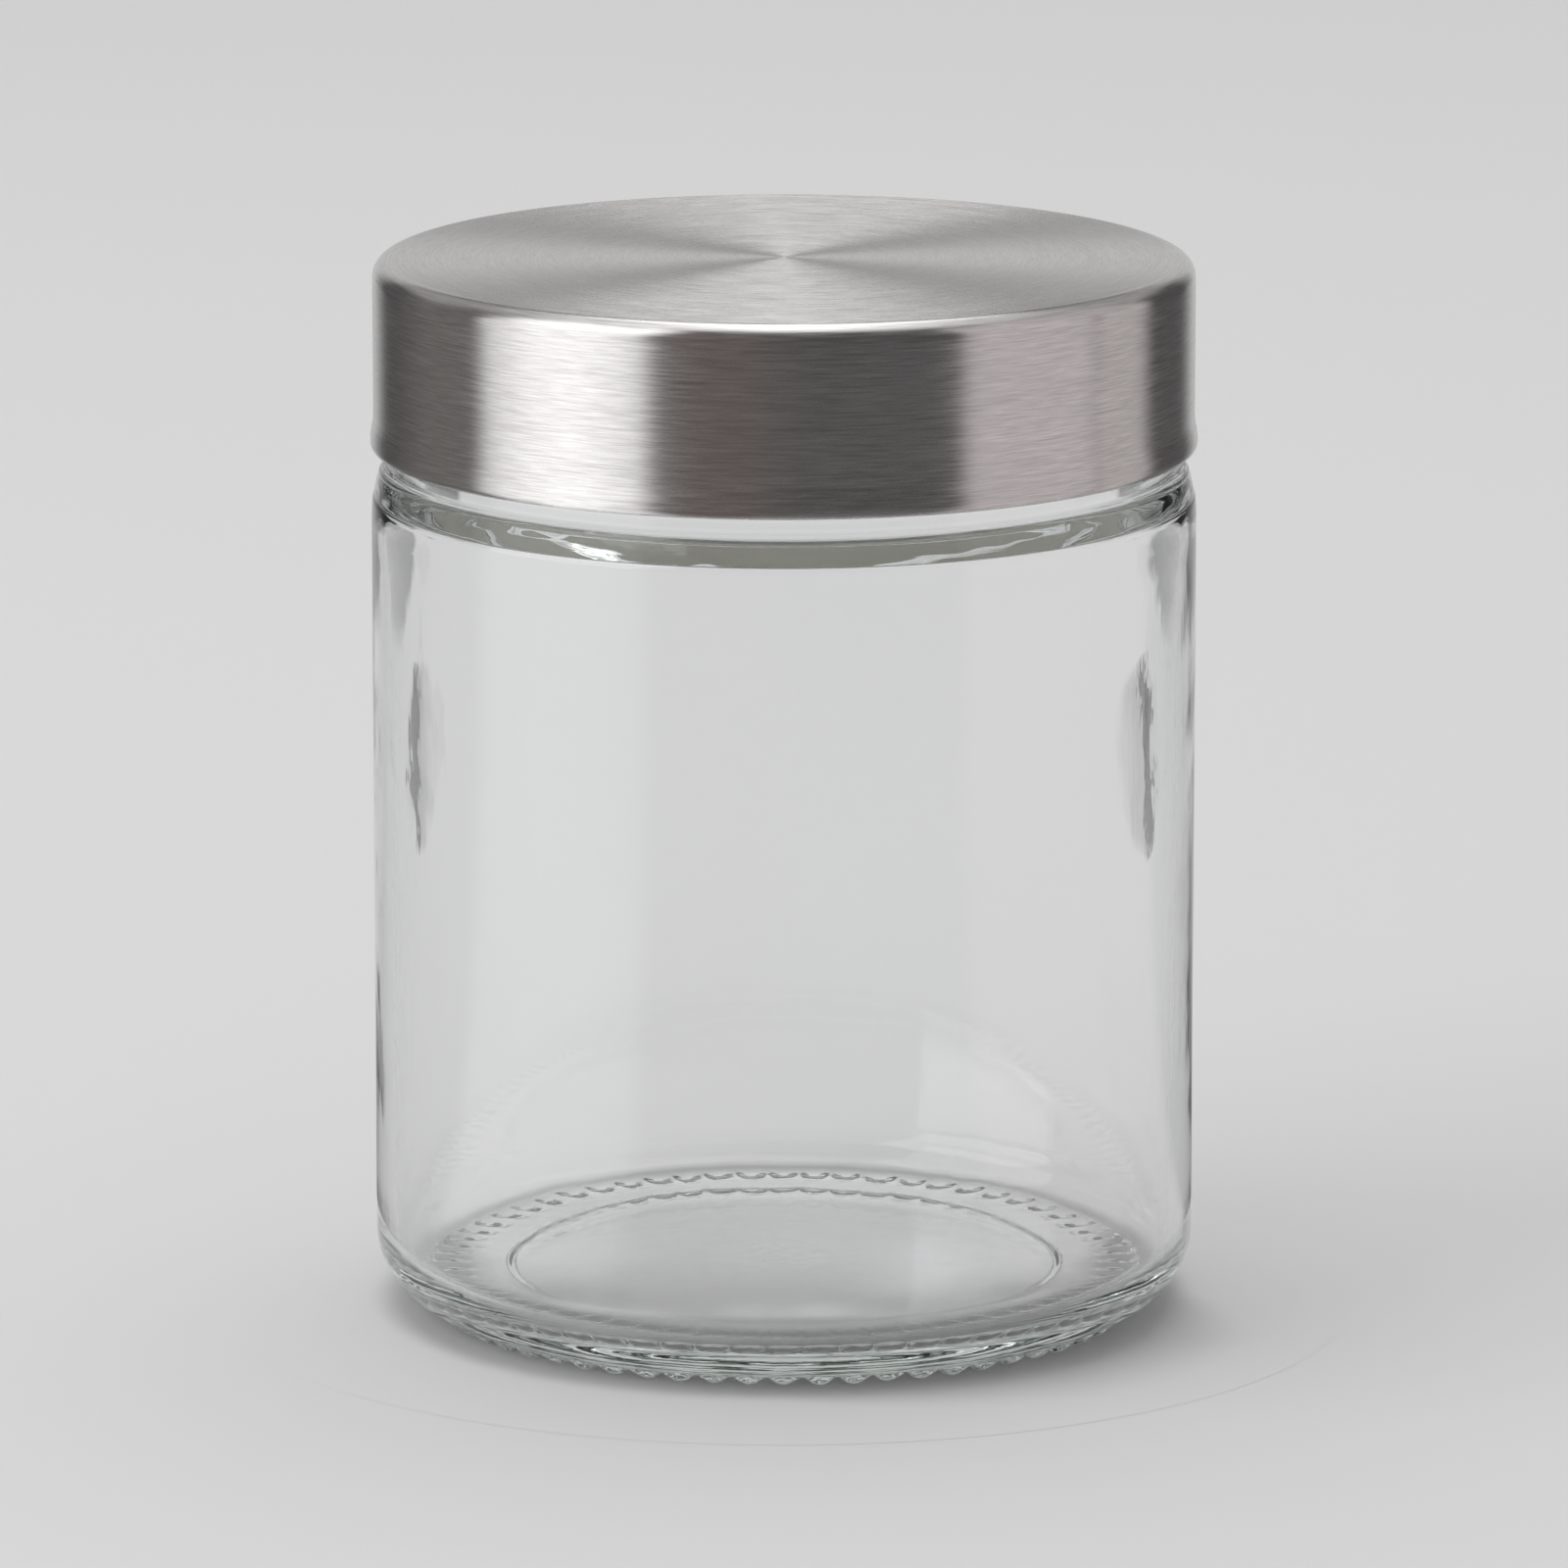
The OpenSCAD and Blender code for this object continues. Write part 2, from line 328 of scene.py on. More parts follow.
flag_shader.inputs["Base Color"].default_value = (0.06, 0.06, 0.06, 1)
flag_shader.inputs["Specular IOR Level"].default_value = 0
flag_alpha = flag_black.node_tree.nodes.new("ShaderNodeAttribute")
flag_alpha.attribute_name = "share"
flag_black.node_tree.links.new(flag_alpha.outputs["Fac"], flag_shader.inputs["Alpha"])
flag_mesh.materials.append(flag_black)
flags = bpy.data.objects.new("flags", flag_mesh)
scene.collection.objects.link(flags)
flags.visible_camera = False
flags.visible_diffuse = False
flags.visible_glossy = False
flags.visible_volume_scatter = False
flags.visible_shadow = False

# Glass jar. One piece of clear soda-lime glass, blown in a two-part mould: straight body, heel, shoulder and neck.
# It is turned here from its wall's outline; the knurled standing ring and the four-start thread are raised from it.
# The mould leaves the inside wall slightly wavy, which bends what is seen through it.
mm = 0.001


def arc(x, z, r, start, end, steps):
    """Points of an arc round (x, z), angles in degrees."""
    angles = [math.radians(start + (end - start) * i / steps) for i in range(steps + 1)]
    return [(x + r * math.cos(a), z + r * math.sin(a)) for a in angles]


def span(first, last, steps):
    """Points of a straight stretch, without its two ends."""
    return [
        (first[0] + (last[0] - first[0]) * i / steps, first[1] + (last[1] - first[1]) * i / steps)
        for i in range(1, steps)
    ]


def leaning(heights):
    """The shoulder's slow inward lean at some heights, with the small step of the line where two mould parts meet."""
    points = []
    for z in heights:
        x = R - lean_r + math.sqrt(lean_r**2 - max(z - lean_z, 0) ** 2)
        step_in = min(max((z - mould_line_z) / mould_line_h, 0), 1)
        points.append((x - mould_line_depth * step_in, z))
    return points


def dome(z, r, drop, steps):
    """Points of a shallow dome from the axis at height z out to radius r, where it has fallen by drop."""
    dome_r = (r * r + drop * drop) / (2 * drop)
    return arc(0, z - dome_r, dome_r, 90, 90 - math.degrees(math.asin(r / dome_r)), steps)


def joined(*stretches):
    """One outline from stretches of points, without points that repeat."""
    outline = []
    for stretch in stretches:
        for x, z in stretch:
            x = 0 if abs(x) < 1e-9 else x
            if not outline or math.dist(outline[-1], (x, z)) > 1e-7:
                outline.append((x, z))
    return outline


def calc(tree, operation, *values):
    """A math node on fields or numbers, and its output."""
    node = tree.nodes.new("ShaderNodeMath")
    node.operation = operation
    for socket, value in zip(node.inputs, values):
        if isinstance(value, (int, float)):
            socket.default_value = value
        else:
            tree.links.new(value, socket)
    return node.outputs[0]


def tree_with_inputs(name, inputs):
    """A geometry node tree with a geometry in and out and the named inputs, and its input and output nodes."""
    tree = bpy.data.node_groups.new(name, "GeometryNodeTree")
    tree.interface.new_socket("Geometry", in_out="INPUT", socket_type="NodeSocketGeometry")
    for socket_name, kind in inputs:
        tree.interface.new_socket(socket_name, in_out="INPUT", socket_type=kind)
    tree.interface.new_socket("Geometry", in_out="OUTPUT", socket_type="NodeSocketGeometry")
    return tree, tree.nodes.new("NodeGroupInput"), tree.nodes.new("NodeGroupOutput")


def finish_tree(tree, geometry, material, out):
    """Ends a tree in Realize Instances and Set Material."""
    realize = tree.nodes.new("GeometryNodeRealizeInstances")
    paint = tree.nodes.new("GeometryNodeSetMaterial")
    tree.links.new(geometry, realize.inputs["Geometry"])
    tree.links.new(realize.outputs["Geometry"], paint.inputs["Geometry"])
    tree.links.new(material, paint.inputs["Material"])
    tree.links.new(paint.outputs["Geometry"], out.inputs["Geometry"])


def add_tree(piece, tree, values):
    """Puts a tree on a piece as a modifier, with its inputs set by the sockets' identifiers."""
    modifier = piece.modifiers.new(tree.name, "NODES")
    modifier.node_group = tree
    identifiers = {s.name: s.identifier for s in tree.interface.items_tree if s.in_out == "INPUT"}
    for name, value in values.items():
        modifier[identifiers[name]] = value


def turning_tree():
    """Turns an outline of points about the Z axis into a closed skin."""
    tree, given, out = tree_with_inputs(
        "turning",
        [("Rows", "NodeSocketInt"), ("Segments", "NodeSocketInt"), ("Material", "NodeSocketMaterial")],
    )
    columns = calc(tree, "ADD", given.outputs["Segments"], 1)
    grid = tree.nodes.new("GeometryNodeMeshGrid")
    tree.links.new(given.outputs["Rows"], grid.inputs["Vertices X"])
    tree.links.new(columns, grid.inputs["Vertices Y"])
    index = tree.nodes.new("GeometryNodeInputIndex").outputs[0]
    row = calc(tree, "FLOOR", calc(tree, "DIVIDE", calc(tree, "ADD", index, 0.5), columns))
    column = calc(tree, "SUBTRACT", index, calc(tree, "MULTIPLY", row, columns))
    angle = calc(tree, "MULTIPLY", calc(tree, "DIVIDE", column, given.outputs["Segments"]), 2 * math.pi)
    sample = tree.nodes.new("GeometryNodeSampleIndex")
    sample.data_type = "FLOAT_VECTOR"
    sample.domain = "POINT"
    tree.links.new(given.outputs["Geometry"], sample.inputs["Geometry"])
    tree.links.new(tree.nodes.new("GeometryNodeInputPosition").outputs[0], sample.inputs["Value"])
    tree.links.new(row, sample.inputs["Index"])
    point = tree.nodes.new("ShaderNodeSeparateXYZ")
    tree.links.new(sample.outputs["Value"], point.inputs[0])
    place = tree.nodes.new("ShaderNodeCombineXYZ")
    tree.links.new(calc(tree, "MULTIPLY", point.outputs["X"], calc(tree, "COSINE", angle)), place.inputs["X"])
    tree.links.new(calc(tree, "MULTIPLY", point.outputs["X"], calc(tree, "SINE", angle)), place.inputs["Y"])
    tree.links.new(point.outputs["Z"], place.inputs["Z"])
    move = tree.nodes.new("GeometryNodeSetPosition")
    tree.links.new(grid.outputs["Mesh"], move.inputs["Geometry"])
    tree.links.new(place.outputs[0], move.inputs["Position"])
    merge = tree.nodes.new("GeometryNodeMergeByDistance")
    merge.inputs["Distance"].default_value = 1e-6
    tree.links.new(move.outputs["Geometry"], merge.inputs["Geometry"])
    finish_tree(tree, merge.outputs["Geometry"], given.outputs["Material"], out)
    return tree


turning = turning_tree()


def turned(name, outline, segments, material):
    """An object whose mesh is an outline of (radius, height) in mm turned about the jar's axis."""
    mesh = bpy.data.meshes.new(name)
    mesh.from_pydata([(x * mm, 0, z * mm) for x, z in outline], [], [])
    piece = bpy.data.objects.new(name, mesh)
    scene.collection.objects.link(piece)
    add_tree(piece, turning, {"Rows": len(outline), "Segments": segments, "Material": material})
    return piece


def made_plain(piece):
    """The piece with its modifiers applied as one plain mesh, faces outward and smooth."""
    graph = bpy.context.evaluated_depsgraph_get()
    mesh = bpy.data.meshes.new_from_object(piece.evaluated_get(graph), depsgraph=graph)
    mesh.name = piece.name
    piece.modifiers.clear()
    piece.data = mesh
    skin = bmesh.new()
    skin.from_mesh(mesh)
    bmesh.ops.recalc_face_normals(skin, faces=skin.faces)
    skin.to_mesh(mesh)
    skin.free()
    mesh.shade_smooth()
    return piece


def clear_glass():
    """Clear soda-lime glass, faintly green where light runs a long way through it, with the skin's own small waves."""
    glass = bpy.data.materials.new("clear_glass")
    glass.use_nodes = True
    nodes, links = glass.node_tree.nodes, glass.node_tree.links
    shader = nodes["Principled BSDF"]
    shader.inputs["Base Color"].default_value = (0.985, 0.985, 0.99, 1)
    shader.inputs["Roughness"].default_value = 0.0
    shader.inputs["IOR"].default_value = 1.52
    shader.inputs["Transmission Weight"].default_value = 1.0
    coordinates = nodes.new("ShaderNodeTexCoord")
    waves = nodes.new("ShaderNodeTexNoise")
    waves.inputs["Scale"].default_value = 90
    waves.inputs["Detail"].default_value = 2
    links.new(coordinates.outputs["Object"], waves.inputs["Vector"])
    drawn = nodes.new("ShaderNodeVectorMath")
    drawn.operation = "MULTIPLY"
    drawn.inputs[1].default_value = (1, 1, 0.35)
    links.new(coordinates.outputs["Object"], drawn.inputs[0])
    ripples = nodes.new("ShaderNodeTexNoise")
    ripples.inputs["Scale"].default_value = 1300
    ripples.inputs["Detail"].default_value = 1
    links.new(drawn.outputs[0], ripples.inputs["Vector"])
    bump = nodes.new("ShaderNodeBump")
    bump.inputs["Strength"].default_value = 0.08
    bump.inputs["Distance"].default_value = 0.0006
    height = nodes.new("ShaderNodeSeparateXYZ")
    links.new(coordinates.outputs["Object"], height.inputs[0])
    high_up = nodes.new("ShaderNodeMapRange")
    high_up.inputs["From Min"].default_value = 0.068
    high_up.inputs["From Max"].default_value = 0.071
    high_up.inputs["To Min"].default_value = 1
    high_up.inputs["To Max"].default_value = 2.6
    links.new(height.outputs["Z"], high_up.inputs["Value"])
    wave_height = nodes.new("ShaderNodeMath")
    wave_height.operation = "MULTIPLY"
    links.new(waves.outputs["Fac"], wave_height.inputs[0])
    links.new(high_up.outputs["Result"], wave_height.inputs[1])
    links.new(wave_height.outputs[0], bump.inputs["Height"])
    on_wall = nodes.new("ShaderNodeMapRange")
    on_wall.inputs["From Min"].default_value = 0.069
    on_wall.inputs["From Max"].default_value = 0.066
    on_wall.inputs["To Max"].default_value = 0.6
    links.new(height.outputs["Z"], on_wall.inputs["Value"])
    wall_ripples = nodes.new("ShaderNodeMath")
    wall_ripples.operation = "MULTIPLY"
    links.new(ripples.outputs["Fac"], wall_ripples.inputs[0])
    links.new(on_wall.outputs["Result"], wall_ripples.inputs[1])
    centre = nodes.new("ShaderNodeVectorMath")
    centre.operation = "LENGTH"
    links.new(coordinates.outputs["Object"], centre.inputs[0])
    in_mark = nodes.new("ShaderNodeMapRange")
    in_mark.inputs["From Min"].default_value = 0.0048
    in_mark.inputs["From Max"].default_value = 0.0036
    links.new(centre.outputs["Value"], in_mark.inputs["Value"])
    mark = nodes.new("ShaderNodeTexNoise")
    mark.inputs["Scale"].default_value = 700
    mark.inputs["Detail"].default_value = 0
    links.new(coordinates.outputs["Object"], mark.inputs["Vector"])
    mark_height = nodes.new("ShaderNodeMath")
    mark_height.operation = "MULTIPLY"
    links.new(mark.outputs["Fac"], mark_height.inputs[0])
    links.new(in_mark.outputs["Result"], mark_height.inputs[1])
    in_mark.inputs["To Max"].default_value = 7
    low_down = nodes.new("ShaderNodeMapRange")
    low_down.inputs["From Min"].default_value = 0.0014
    low_down.inputs["From Max"].default_value = 0.0009
    low_down.inputs["To Max"].default_value = 15
    links.new(height.outputs["Z"], low_down.inputs["Value"])
    on_ring = nodes.new("ShaderNodeMapRange")
    on_ring.inputs["From Min"].default_value = 0.0262
    on_ring.inputs["From Max"].default_value = 0.0278
    links.new(centre.outputs["Value"], on_ring.inputs["Value"])
    grain = nodes.new("ShaderNodeTexNoise")
    grain.inputs["Scale"].default_value = 1700
    grain.inputs["Detail"].default_value = 2
    links.new(coordinates.outputs["Object"], grain.inputs["Vector"])
    ring_grain = nodes.new("ShaderNodeMath")
    ring_grain.operation = "MULTIPLY"
    links.new(on_ring.outputs["Result"], ring_grain.inputs[0])
    links.new(grain.outputs["Fac"], ring_grain.inputs[1])
    low_grain = nodes.new("ShaderNodeMath")
    low_grain.operation = "MULTIPLY_ADD"
    links.new(ring_grain.outputs[0], low_grain.inputs[0])
    links.new(low_down.outputs["Result"], low_grain.inputs[1])
    links.new(mark_height.outputs[0], low_grain.inputs[2])
    unevenness = nodes.new("ShaderNodeMath")
    unevenness.operation = "ADD"
    links.new(wall_ripples.outputs[0], unevenness.inputs[0])
    links.new(low_grain.outputs[0], unevenness.inputs[1])
    fine_bump = nodes.new("ShaderNodeBump")
    fine_bump.inputs["Strength"].default_value = 0.1
    fine_bump.inputs["Distance"].default_value = 0.00003
    links.new(unevenness.outputs[0], fine_bump.inputs["Height"])
    links.new(bump.outputs["Normal"], fine_bump.inputs["Normal"])
    links.new(fine_bump.outputs["Normal"], shader.inputs["Normal"])
    absorb = nodes.new("ShaderNodeVolumeAbsorption")
    absorb.inputs["Color"].default_value = (0.6, 0.86, 0.72, 1)
    absorb.inputs["Density"].default_value = 4.0
    links.new(absorb.outputs["Volume"], nodes["Material Output"].inputs["Volume"])
    return glass


glass = clear_glass()
R = body_r / mm
H = lid_top / mm
ledge = shell_low[2] / mm - 1.4
rim = jar_high[2] / mm
ring_z = 0.42
heel_r, heel_low = 6, 0.9
knurl_out = R - 4
heel_start = -math.degrees(math.acos((knurl_out - R + heel_r) / heel_r))
heel_z = heel_low - heel_r * math.sin(math.radians(heel_start))
knurl_in = knurl_out - 4.1
recess_r = knurl_in - 3.4
lean_r, lean_angle, corner_r = 14, 16, 1
corner_x = R - lean_r + (lean_r - corner_r) * math.cos(math.radians(lean_angle))
corner_z = ledge - corner_r
lean_z = corner_z - (lean_r - corner_r) * math.sin(math.radians(lean_angle))
mould_line_z, mould_line_h, mould_line_depth = 70.25, 0.14, 0.07
neck_ring_r = R - 1.8
neck_ring_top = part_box("lid_insert")[0][2] / mm - 0.5
neck_r = neck_ring_r - 1
mouth_r = neck_r - 1.6
wall_r, low_wall_r = R - 1.3, R - 1.8
turn_r, turn_angle, turn_z = 0.7, 60, ledge - 3.4
throat_r = 1.5
floor_z, floor_rise, floor_fillet = 3.7, 0.6, 3.3
slope_run = wall_r - turn_r * (1 - math.cos(math.radians(turn_angle))) - mouth_r - throat_r * (1 - math.cos(math.radians(turn_angle)))
throat_z = (
    turn_z
    + (turn_r + throat_r) * math.sin(math.radians(turn_angle))
    + slope_run / math.tan(math.radians(turn_angle))
)
step, step_run, recess_dome = 0.5, 1.1, 0.4
foot_r = 0.25
rim_r = 0.5

underside = joined(
    dome(ring_z + step + recess_dome, recess_r - step_run / 2, recess_dome, 7),
    [
        (recess_r + step_run * (i / 10 - 0.5), ring_z + step * (0.5 + 0.5 * math.cos(math.pi * i / 10)))
        for i in range(11)
    ],
    span((recess_r + step_run / 2, ring_z), (knurl_in, ring_z), 3),
    [(knurl_in, ring_z)],
    span((knurl_in, ring_z), (knurl_out, heel_low), 18),
)
outside = joined(
    arc(R - heel_r, heel_z, heel_r, heel_start, 0, 10),
    span((R, heel_z), (R, lean_z), 6),
    leaning([lean_z + (mould_line_z - lean_z) * i / 4 for i in range(5)]),
    leaning([mould_line_z + mould_line_h * share for share in (0.25, 0.75, 1, 1.6)]),
    leaning([mould_line_z + 2 * mould_line_h + (corner_z + 0.2 - mould_line_z - 2 * mould_line_h) * i / 4 for i in range(4)]),
    arc(corner_x - mould_line_depth, corner_z, corner_r, lean_angle + 2, 90, 7),
    arc(neck_ring_r + foot_r, ledge + foot_r, foot_r, 270, 180, 4),
    arc(neck_ring_r - 0.4, neck_ring_top - 0.4, 0.4, 0, 90, 4),
    arc(neck_r + 0.2, neck_ring_top + 0.2, 0.2, 270, 180, 3),
    span((neck_r, neck_ring_top + 0.2), (neck_r, rim - rim_r), 28),
    arc(neck_r - rim_r, rim - rim_r, rim_r, 0, 90, 4),
)
inside = joined(
    arc(mouth_r + rim_r, rim - rim_r, rim_r, 90, 180, 4),
    span((mouth_r, rim - rim_r), (mouth_r, throat_z), 3),
    arc(mouth_r + throat_r, throat_z, throat_r, 180, 180 + turn_angle, 7),
    arc(wall_r - turn_r, turn_z, turn_r, turn_angle, 0, 8),
    span((wall_r, turn_z), (low_wall_r, floor_z + floor_fillet), 14),
    arc(low_wall_r - floor_fillet, floor_z + floor_fillet, floor_fillet, 0, -90, 8),
    dome(floor_z + floor_rise, low_wall_r - floor_fillet, floor_rise, 7)[::-1],
)


def glass_detail_tree():
    """Raises the knurls under the ring and the thread round the neck, and makes the wall wavy."""
    tree, given, out = tree_with_inputs(
        "glass_detail",
        [
            ("Knurls", "NodeSocketInt"),
            ("Knurl Inner Radius", "NodeSocketFloat"),
            ("Knurl Outer Radius", "NodeSocketFloat"),
            ("Knurl Inner Fade", "NodeSocketFloat"),
            ("Knurl Outer Fade", "NodeSocketFloat"),
            ("Knurl Ceiling", "NodeSocketFloat"),
            ("Thread Starts", "NodeSocketInt"),
            ("Thread Lead", "NodeSocketFloat"),
            ("Thread Low", "NodeSocketFloat"),
            ("Thread High", "NodeSocketFloat"),
            ("Thread Width", "NodeSocketFloat"),
            ("Thread Depth", "NodeSocketFloat"),
            ("Wave Height", "NodeSocketFloat"),
            ("Wave Seed", "NodeSocketFloat"),
            ("Material", "NodeSocketMaterial"),
        ],
    )
    value = given.outputs
    position = tree.nodes.new("GeometryNodeInputPosition").outputs[0]
    point = tree.nodes.new("ShaderNodeSeparateXYZ")
    tree.links.new(position, point.inputs[0])
    x, y, z = point.outputs
    radius = calc(tree, "SQRT", calc(tree, "ADD", calc(tree, "MULTIPLY", x, x), calc(tree, "MULTIPLY", y, y)))
    angle = calc(tree, "ARCTAN2", y, x)

    # Knurls: round bulges down to the table with sharp valleys between, worn flat below, fading at the ring's two edges
    half_phase = calc(tree, "MULTIPLY", calc(tree, "MULTIPLY", angle, value["Knurls"]), 0.5)
    bulge = calc(tree, "MULTIPLY", calc(tree, "ABSOLUTE", calc(tree, "COSINE", half_phase)), 1.15)
    from_in = calc(tree, "DIVIDE", calc(tree, "SUBTRACT", radius, value["Knurl Inner Radius"]), value["Knurl Inner Fade"])
    from_out = calc(tree, "DIVIDE", calc(tree, "SUBTRACT", value["Knurl Outer Radius"], radius), value["Knurl Outer Fade"])
    from_out = calc(tree, "POWER", calc(tree, "MINIMUM", calc(tree, "MAXIMUM", from_out, 0), 1), 0.5)
    faded = calc(tree, "MINIMUM", calc(tree, "MAXIMUM", calc(tree, "MINIMUM", from_in, from_out), 0), 1)
    worn = tree.nodes.new("ShaderNodeTexNoise")
    worn.inputs["Scale"].default_value = 240
    worn.inputs["Detail"].default_value = 0
    tree.links.new(position, worn.inputs["Vector"])
    kept = calc(tree, "ADD", 0.75, calc(tree, "MULTIPLY", worn.outputs["Fac"], 0.5))
    knurl = calc(tree, "MULTIPLY", calc(tree, "MULTIPLY", bulge, faded), kept)
    knurl = calc(tree, "MINIMUM", calc(tree, "MAXIMUM", knurl, 0), 1)
    under = calc(tree, "LESS_THAN", z, value["Knurl Ceiling"])
    drop = calc(tree, "MULTIPLY", calc(tree, "MULTIPLY", knurl, z), under)
    knurl_z = calc(tree, "SUBTRACT", z, drop)

    # Thread: ridges that climb by the lead in one turn, one for each start, between two heights
    climb = calc(tree, "MULTIPLY", calc(tree, "DIVIDE", angle, 2 * math.pi), value["Thread Lead"])
    pitch = calc(tree, "DIVIDE", value["Thread Lead"], value["Thread Starts"])
    turns = calc(tree, "DIVIDE", calc(tree, "SUBTRACT", z, climb), pitch)
    from_ridge = calc(tree, "MULTIPLY", calc(tree, "SUBTRACT", turns, calc(tree, "ROUND", turns)), pitch)
    ridge = calc(tree, "SUBTRACT", 1, calc(tree, "ABSOLUTE", calc(tree, "DIVIDE", from_ridge, calc(tree, "MULTIPLY", value["Thread Width"], 0.5))))
    ridge = calc(tree, "MINIMUM", calc(tree, "MULTIPLY", calc(tree, "MAXIMUM", ridge, 0), 1.8), 1)
    above = calc(tree, "DIVIDE", calc(tree, "SUBTRACT", z, value["Thread Low"]), value["Thread Width"])
    below = calc(tree, "DIVIDE", calc(tree, "SUBTRACT", value["Thread High"], z), value["Thread Width"])
    window = calc(tree, "MINIMUM", calc(tree, "MAXIMUM", calc(tree, "MINIMUM", above, below), 0), 1)
    smooth_ridge = calc(tree, "SMOOTH_MIN", ridge, window, 0.2)
    outer = calc(tree, "GREATER_THAN", radius, (mouth_r + 0.8) * mm)
    swell = calc(tree, "MULTIPLY", calc(tree, "MULTIPLY", calc(tree, "MAXIMUM", smooth_ridge, 0), value["Thread Depth"]), outer)

    # Waves: slow dents and swells of the inside wall
    noise = tree.nodes.new("ShaderNodeTexNoise")
    noise.noise_dimensions = "4D"
    noise.inputs["Scale"].default_value = 60
    noise.inputs["Detail"].default_value = 0.6
    stretch = tree.nodes.new("ShaderNodeVectorMath")
    stretch.operation = "MULTIPLY"
    stretch.inputs[1].default_value = (1, 1, 0.45)
    tree.links.new(position, stretch.inputs[0])
    tree.links.new(stretch.outputs[0], noise.inputs["Vector"])
    tree.links.new(value["Wave Seed"], noise.inputs["W"])
    rise = calc(tree, "DIVIDE", calc(tree, "SUBTRACT", z, 0.007), 0.008)
    fall = calc(tree, "DIVIDE", calc(tree, "SUBTRACT", turn_z * mm, z), 0.008)
    belly = calc(tree, "MINIMUM", calc(tree, "MAXIMUM", calc(tree, "MINIMUM", rise, fall), 0), 1)
    inner = calc(tree, "LESS_THAN", radius, (R - 0.6) * mm)
    ripple = tree.nodes.new("ShaderNodeTexNoise")
    ripple.inputs["Scale"].default_value = 230
    ripple.inputs["Detail"].default_value = 1
    tree.links.new(stretch.outputs[0], ripple.inputs["Vector"])
    unevenness = calc(tree, "ADD", noise.outputs["Fac"], calc(tree, "MULTIPLY", ripple.outputs["Fac"], 0.12))
    wave = calc(tree, "MULTIPLY", calc(tree, "SUBTRACT", unevenness, 0.56), value["Wave Height"])
    wave = calc(tree, "MULTIPLY", calc(tree, "MULTIPLY", wave, belly), inner)

    new_radius = calc(tree, "ADD", calc(tree, "ADD", radius, swell), wave)
    place = tree.nodes.new("ShaderNodeCombineXYZ")
    tree.links.new(calc(tree, "MULTIPLY", new_radius, calc(tree, "COSINE", angle)), place.inputs["X"])
    tree.links.new(calc(tree, "MULTIPLY", new_radius, calc(tree, "SINE", angle)), place.inputs["Y"])
    tree.links.new(knurl_z, place.inputs["Z"])
    move = tree.nodes.new("GeometryNodeSetPosition")
    tree.links.new(value["Geometry"], move.inputs["Geometry"])
    tree.links.new(place.outputs[0], move.inputs["Position"])
    finish_tree(tree, move.outputs["Geometry"], value["Material"], out)
    return tree


thread_starts = 4
thread_lead = 14
thread_low = neck_ring_top + 1.6
thread_high = thread_low + 5.6
jar = turned("jar_glass", joined(underside, outside, inside), 576, glass)
add_tree(
    jar,
    glass_detail_tree(),
    {
        "Knurls": 64,
        "Knurl Inner Radius": knurl_in * mm,
        "Knurl Outer Radius": knurl_out * mm,
        "Knurl Inner Fade": 2.8 * mm,
        "Knurl Outer Fade": 1.1 * mm,
        "Knurl Ceiling": 1.2 * mm,
        "Thread Starts": thread_starts,
        "Thread Lead": thread_lead * mm,
        "Thread Low": thread_low * mm,
        "Thread High": thread_high * mm,
        "Thread Width": 1.7 * mm,
        "Thread Depth": 0.85 * mm,
        "Wave Height": 0.16 * mm,
        "Wave Seed": 3.0,
        "Material": glass,
    },
)
made_plain(jar)
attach(jar, "jar")
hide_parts("glass_jar")

# Lid shell. A cap drawn from one sheet of stainless steel, its top edge rounded and its lower edge flared and curled in.
# The top is brushed in circles and the side round and round, so that highlights spread across the brushing.


